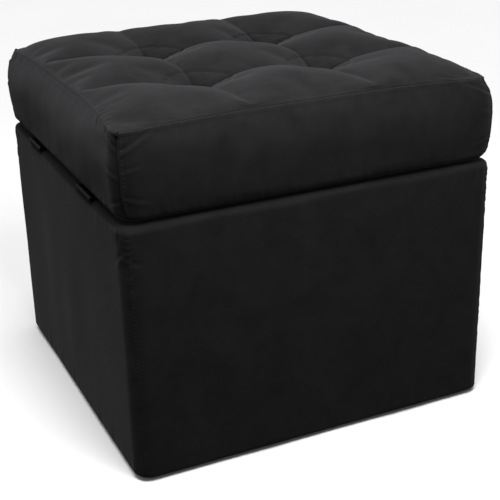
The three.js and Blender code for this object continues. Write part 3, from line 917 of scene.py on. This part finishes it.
def make_lining_staples(material):
    """Staples that hold the wall lining's top fold to the boards."""
    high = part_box("side_lining")[1]
    chance = np.random.default_rng(52)
    inner = high.x - 0.9 * MM
    frames = []
    for turn in range(4):
        spin = quarter_turn(turn)
        for number in range(-4, 5):
            slip = chance.normal(0, 1, 3) * np.array([1.5, 0.7, 0.07])
            along = number * STAPLE_PITCH + slip[0] * MM
            place = spin @ (inner, along, high.z - STAPLE_INSET + slip[1] * MM)
            axis = spin @ (0, math.cos(slip[2]), math.sin(slip[2]))
            frames.append((place, axis, spin @ (-1, 0, 0)))
    stamp("side_lining_staples", staple_shape(), frames, "base", material)


def stitch_shape():
    path = [(-1.4 * MM, 0, -0.5 * MM), (-1.0 * MM, 0, 0.05 * MM), (0, 0, 0.15 * MM),
            (1.0 * MM, 0, 0.05 * MM), (1.4 * MM, 0, -0.5 * MM)]
    return wire(path, 0.3 * MM)


def walk(half, radius, pitch):
    """Places evenly spaced round a rounded square, and the directions along it there."""
    outline = round_square(square_edge(side_lines(half, radius, 60, 24)), half, radius)
    outline = np.concatenate([outline, outline[:1]])
    steps = np.linalg.norm(np.diff(outline, axis=0), axis=1)
    run = np.concatenate([[0], np.cumsum(steps)])
    at = np.arange(round(run[-1] / pitch)) * run[-1] / round(run[-1] / pitch)
    places = np.column_stack([np.interp(at, run, outline[:, axis]) for axis in (0, 1)])
    directions = np.roll(places, -1, axis=0) - np.roll(places, 1, axis=0)
    return places, directions / np.linalg.norm(directions, axis=1, keepdims=True)


def on_cloth(tree, places, directions):
    """Frames on the cloth nearest those places: x along the directions and z out of the cloth."""
    frames = []
    for place, direction in zip(places, directions):
        spot, normal, _, _ = tree.find_nearest(Vector(place))
        along = Vector(direction)
        along = (along - normal * along.dot(normal)).normalized()
        frames.append((spot, along, normal))
    return frames


def corner_line(half, radius, offset, heights):
    """Places up each of the four corners, that far round from the corner's middle."""
    places = []
    for turn in range(4):
        spin = quarter_turn(turn)
        side = offset if turn % 2 == 0 else -offset
        angle = math.pi / 4 + side / radius
        x = half - radius + radius * math.cos(angle)
        y = half - radius + radius * math.sin(angle)
        places += [spin @ (x, y, z) for z in heights]
    return np.array(places)


def make_lid_stitches(tree, material):
    """Topstitching just below the top seam and beside the corner seams."""
    ring, directions = walk(LID_HALF, LID_CORNER, STITCH_PITCH)
    ring = stuffed(np.column_stack([ring, np.full(len(ring), SEAM_Z - 1.2 * MM)]))
    frames = on_cloth(tree, ring, np.column_stack([directions, np.zeros(len(ring))]))
    heights = np.arange(SEAM_Z - 11 * MM, LID_BOTTOM + 10 * MM, -STITCH_PITCH)
    corners = stuffed(corner_line(LID_HALF, LID_CORNER, STITCH_OFFSET, heights))
    frames += on_cloth(tree, corners, np.tile([0, 0, 1], (len(corners), 1)))
    stamp("lid_topstitching", stitch_shape(), frames, "lid", material)


def make_base_stitches(tree, material):
    heights = np.arange(RIM_Z - 9 * MM, BASE_BOTTOM + 9 * MM, -STITCH_PITCH)
    corners = corner_line(BASE_HALF, BASE_CORNER, STITCH_OFFSET, heights)
    frames = on_cloth(tree, corners, np.tile([0, 0, 1], (len(corners), 1)))
    stamp("base_topstitching", stitch_shape(), frames, "base", material)


def make_corner_knots(tree, material):
    """The small tuck of gathered cloth where the lid's seams meet at each corner."""
    turns = np.radians(np.linspace(-150, 150, 11))
    loop = np.column_stack([1.9 * MM * np.sin(turns), 0 * turns, 1.2 * MM * np.cos(turns)])
    corners = stuffed(corner_line(LID_HALF, LID_CORNER, 0.6 * MM, [SEAM_Z - 2 * MM]))
    frames = on_cloth(tree, corners, np.tile([0, 0, 1], (4, 1)))
    stamp("lid_corner_knots", wire(loop, 0.8 * MM, squash=1.3), frames, "lid", material)


# ---- Materials ----

WAVE_SCALE = 3.18


class Shade:
    """One material and its node tree, built with short calls."""

    def __init__(self, name, roughness, specular=0.5, metallic=0.0):
        self.material = bpy.data.materials.new(name)
        self.material.use_nodes = True
        self.tree = self.material.node_tree
        self.shader = self.tree.nodes["Principled BSDF"]
        self.shader.inputs["Roughness"].default_value = roughness
        self.shader.inputs["Specular IOR Level"].default_value = specular
        self.shader.inputs["Metallic"].default_value = metallic
        self.place = self.tree.nodes.new("ShaderNodeTexCoord").outputs["Object"]

    def link(self, source, target):
        self.tree.links.new(source, target)

    def stretched(self, scale):
        mapping = self.tree.nodes.new("ShaderNodeMapping")
        mapping.inputs["Scale"].default_value = scale
        self.link(self.place, mapping.inputs["Vector"])
        return mapping.outputs["Vector"]

    def texture(self, kind, scale, place):
        node = self.tree.nodes.new(f"ShaderNodeTex{kind}")
        node.inputs["Scale"].default_value = scale
        self.link(place, node.inputs["Vector"])
        return node

    def noise(self, size, detail=3, distortion=0, stretch=(1, 1, 1)):
        """Noise whose lumps are about size metres across."""
        node = self.texture("Noise", 1 / size, self.stretched(stretch))
        node.inputs["Detail"].default_value = detail
        node.inputs["Distortion"].default_value = distortion
        return node.outputs["Fac"]

    def cells(self, size, stretch=(1, 1, 1)):
        """Cells about size metres across."""
        return self.texture("Voronoi", 1 / size, self.stretched(stretch)).outputs["Distance"]

    def slanted_bands(self, size):
        """Diagonal waves that are about size metres apart."""
        node = self.texture("Wave", 1 / (size * WAVE_SCALE), self.place)
        node.bands_direction = "DIAGONAL"
        return node.outputs["Fac"]

    def stored(self, name):
        """A value that the mesh stores at its points, or 0 where it stores none."""
        node = self.tree.nodes.new("ShaderNodeAttribute")
        node.attribute_name = name
        return node.outputs["Fac"]

    def sum(self, *terms):
        """Weighted sum of (weight, value) terms."""
        total = None
        for weight, value in terms:
            node = self.tree.nodes.new("ShaderNodeMath")
            node.operation = "MULTIPLY_ADD"
            self.link(value, node.inputs[0])
            node.inputs[1].default_value = weight
            if total:
                self.link(total, node.inputs[2])
            else:
                node.inputs[2].default_value = 0
            total = node.outputs[0]
        return total

    def ramp(self, value, stops):
        """Colours at positions along value; each stop is (position, (r, g, b))."""
        node = self.tree.nodes.new("ShaderNodeValToRGB")
        elements = node.color_ramp.elements
        while len(elements) < len(stops):
            elements.new(0.5)
        for element, (position, colour) in zip(elements, stops):
            element.position = position
            element.color = (*colour, 1)
        self.link(value, node.inputs["Fac"])
        return node.outputs["Color"]

    def colour(self, value, *stops):
        self.link(self.ramp(value, stops), self.shader.inputs["Base Color"])

    def rough(self, value, low, high):
        stops = [(0.25, (low,) * 3), (0.75, (high,) * 3)]
        self.link(self.ramp(value, stops), self.shader.inputs["Roughness"])

    def bump(self, height, distance, strength=1.0):
        """Adds to the bump that is there already."""
        node = self.tree.nodes.new("ShaderNodeBump")
        node.inputs["Distance"].default_value = distance
        node.inputs["Strength"].default_value = strength
        self.link(height, node.inputs["Height"])
        normal = self.shader.inputs["Normal"]
        if normal.links:
            self.link(normal.links[0].from_socket, node.inputs["Normal"])
        self.link(node.outputs["Normal"], normal)

    def sheen(self, weight, roughness, tint):
        self.link(weight, self.shader.inputs["Sheen Weight"])
        self.shader.inputs["Sheen Roughness"].default_value = roughness
        self.shader.inputs["Sheen Tint"].default_value = (*tint, 1)


def suede_material():
    shade = Shade("suede", roughness=0.85, specular=0.08)
    nap = shade.noise(42 * MM, detail=4, distortion=0.7)
    patches = shade.noise(13 * MM, detail=3)
    grain = shade.noise(1.3 * MM, detail=4)
    fibres = shade.noise(0.45 * MM, detail=2)
    # The stored crease value is painted shade: in the tufts' pits and along the creases beside them
    # it pulls the colour down to the near-black first stop.
    crease = shade.stored("crease")
    mix = shade.sum((0.5, nap), (0.25, patches), (0.25, grain), (-0.5, crease))
    dark, light = (0.0062, 0.0062, 0.0065), (0.0112, 0.0112, 0.0118)
    shade.colour(mix, (0.02, (0.0005,) * 3), (0.36, dark), (0.66, light))
    shade.bump(shade.noise(9 * MM, detail=3), 0.35 * MM, 0.5)
    shade.bump(grain, 0.25 * MM, 0.5)
    shade.bump(fibres, 0.12 * MM, 0.6)
    # Painted shade: the sheen fades to nothing where the crease value is 1.
    weight = shade.ramp(crease, [(0, (0.09,) * 3), (1, (0.0,) * 3)])
    shade.sheen(weight, 0.45, (0.95, 0.95, 1.0))
    return shade.material


def non_woven_material(name, value, cloud_size):
    """Spun-bonded cloth of about that grey value: pressed dots over tangled fibres."""
    shade = Shade(name, roughness=0.8, specular=0.25)
    dots = shade.cells(1.6 * MM)
    fibres = shade.noise(0.8 * MM, detail=5, distortion=1.2)
    clouds = shade.noise(cloud_size, detail=3)
    mix = shade.sum((0.4, dots), (0.35, fibres), (0.35, clouds))
    dark, light = value * 0.6, value * 1.7
    shade.colour(mix, (0.3, (dark,) * 3), (0.75, (light,) * 3))
    shade.bump(dots, 0.25 * MM, 0.6)
    shade.bump(fibres, 0.15 * MM, 0.6)
    return shade.material


def fibreboard_material():
    shade = Shade("fibreboard_finish", roughness=0.75, specular=0.25)
    fibres = shade.noise(1.1 * MM, detail=5)
    clouds = shade.noise(35 * MM, detail=4)
    flecks = shade.cells(1.8 * MM, stretch=(1, 1.7, 1))
    mix = shade.sum((0.45, fibres), (0.4, clouds), (0.2, flecks))
    dark, middle, light = (0.2, 0.115, 0.05), (0.33, 0.2, 0.095), (0.45, 0.3, 0.16)
    shade.colour(mix, (0.3, dark), (0.55, middle), (0.8, light))
    shade.bump(fibres, 0.15 * MM, 0.5)
    return shade.material


def timber_material():
    shade = Shade("timber_finish", roughness=0.6, specular=0.3)
    rings = shade.noise(7 * MM, detail=2, distortion=0.4, stretch=(1, 1, 0.04))
    pores = shade.noise(0.7 * MM, detail=4, stretch=(1, 1, 0.05))
    mix = shade.sum((0.7, rings), (0.3, pores))
    dark, middle, light = (0.36, 0.19, 0.07), (0.52, 0.31, 0.13), (0.62, 0.41, 0.2)
    shade.colour(mix, (0.32, dark), (0.55, middle), (0.7, light))
    shade.bump(pores, 0.2 * MM, 0.5)
    return shade.material


def wadding_material():
    shade = Shade("wadding_finish", roughness=1.0, specular=0.1)
    tangle = shade.noise(2.2 * MM, detail=6, distortion=2)
    clouds = shade.noise(20 * MM, detail=3)
    mix = shade.sum((0.6, tangle), (0.4, clouds))
    shade.colour(mix, (0.3, (0.62, 0.62, 0.6)), (0.7, (0.88, 0.88, 0.86)))
    shade.bump(tangle, 0.8 * MM, 0.8)
    return shade.material


def foam_material():
    shade = Shade("foam_finish", roughness=0.95, specular=0.15)
    pores = shade.cells(0.9 * MM)
    clouds = shade.noise(30 * MM, detail=3)
    mix = shade.sum((0.5, pores), (0.5, clouds))
    shade.colour(mix, (0.2, (0.6, 0.5, 0.25)), (0.7, (0.84, 0.77, 0.5)))
    shade.bump(pores, 0.4 * MM, 0.7)
    return shade.material


def twine_material():
    shade = Shade("twine_finish", roughness=0.7, specular=0.3)
    twist = shade.slanted_bands(1.2 * MM)
    fuzz = shade.noise(0.3 * MM, detail=4)
    mix = shade.sum((0.6, twist), (0.4, fuzz))
    shade.colour(mix, (0.2, (0.42, 0.36, 0.26)), (0.8, (0.72, 0.66, 0.54)))
    shade.bump(twist, 0.3 * MM, 0.8)
    return shade.material


def metal_material(name, dark, light, low, high):
    """Plated or blackened steel with faint drag marks and dulled patches."""
    shade = Shade(name, roughness=0.4, metallic=1.0)
    patches = shade.noise(4 * MM, detail=4)
    drag = shade.noise(0.35 * MM, detail=3, stretch=(0.08, 1, 1))
    mix = shade.sum((0.6, patches), (0.4, drag))
    shade.colour(mix, (0.3, dark), (0.7, light))
    shade.rough(mix, low, high)
    shade.bump(drag, 0.03 * MM, 0.4)
    return shade.material


def glide_material():
    shade = Shade("glide_finish", roughness=0.45, specular=0.45)
    scuffs = shade.noise(2.5 * MM, detail=5, stretch=(1, 0.3, 1))
    shade.colour(scuffs, (0.35, (0.018, 0.018, 0.019)), (0.7, (0.04, 0.04, 0.042)))
    shade.rough(scuffs, 0.35, 0.6)
    shade.bump(scuffs, 0.08 * MM, 0.4)
    return shade.material


def thread_material():
    """Black polyester thread, a little glossier than the suede."""
    shade = Shade("thread_finish", roughness=0.5, specular=0.35)
    twist = shade.slanted_bands(0.7 * MM)
    shade.colour(twist, (0.2, (0.003, 0.003, 0.003)), (0.8, (0.012, 0.012, 0.013)))
    shade.bump(twist, 0.1 * MM, 0.6)
    return shade.material


def finish_cad_nodes(finishes):
    """Gives each CAD node that still shows its finish, and small worn edges to the hard ones."""
    for node in nodes.values():
        if node.hide_render:
            continue
        for slot in node.material_slots:
            slot.material = finishes[slot.material.name.split(".")[0]]
        bevel = node.modifiers.new("worn edges", "BEVEL")
        bevel.width = 0.25 * MM
        bevel.segments = 2
        bevel.limit_method = "ANGLE"
        bevel.angle_limit = math.radians(50)


def floor_material():
    """A pale floor that throws less light back up at the ottoman than it shows."""
    shade = Shade("studio_floor", roughness=0.9, specular=0.0)
    shade.colour(shade.noise(0.6), (0.3, (0.88,) * 3), (0.7, (0.9,) * 3))
    seen = shade.tree.nodes.new("ShaderNodeLightPath").outputs["Is Camera Ray"]
    bounce = shade.tree.nodes.new("ShaderNodeBsdfDiffuse")
    bounce.inputs["Color"].default_value = (0.04, 0.04, 0.04, 1)
    mix = shade.tree.nodes.new("ShaderNodeMixShader")
    shade.link(seen, mix.inputs[0])
    shade.link(bounce.outputs[0], mix.inputs[1])
    shade.link(shade.shader.outputs[0], mix.inputs[2])
    output = shade.tree.nodes["Material Output"]
    shade.link(mix.outputs[0], output.inputs["Surface"])
    return shade.material


suede = suede_material()
thread = thread_material()
lining = non_woven_material("lining_finish", 0.012, 25 * MM)
dust_cloth = non_woven_material("dust_cloth_finish", 0.015, 31 * MM)
foam = foam_material()
wadding = wadding_material()
zinc = metal_material("zinc_finish", (0.42,) * 3, (0.68, 0.68, 0.66), 0.3, 0.5)
black_steel = metal_material("black_steel_finish", (0.012,) * 3, (0.03,) * 3, 0.4, 0.6)

make_camera()
make_lights()
make_floor(floor_material())
bpy.context.scene.view_settings.view_transform = "Standard"

lid_cover, lid_inside = make_lid_cover(suede)
lid_cloth = BVHTree.FromObject(lid_cover, bpy.context.evaluated_depsgraph_get())
make_lid_stitches(lid_cloth, thread)
make_corner_knots(lid_cloth, suede)
make_lid_foam(lid_inside, foam)

base_cover = make_base_cover(suede)
base_cloth = BVHTree.FromObject(base_cover, bpy.context.evaluated_depsgraph_get())
make_base_stitches(base_cloth, thread)
for quarter, wall in enumerate(("right", "back", "left", "front")):
    make_wadding(wall, quarter, wadding)

make_side_lining(lining)
make_lining_staples(zinc)
make_floor_lining(lining)
edge = stapled_sheet("lid_lining_cloth", "lid_lining", "lid",
                     43, lining)
make_underside_staples("lid_lining_staples", *edge, "lid", zinc)
edge = stapled_sheet("dust_cover_cloth", "dust_cover", "base",
                     44, dust_cloth)
make_underside_staples("dust_cover_staples", *edge, "base", zinc)

finish_cad_nodes({
    "fibreboard": fibreboard_material(),
    "timber": timber_material(),
    "twine": twine_material(),
    "steel": zinc,
    "black_steel": black_steel,
    "glide_plastic": glide_material(),
})
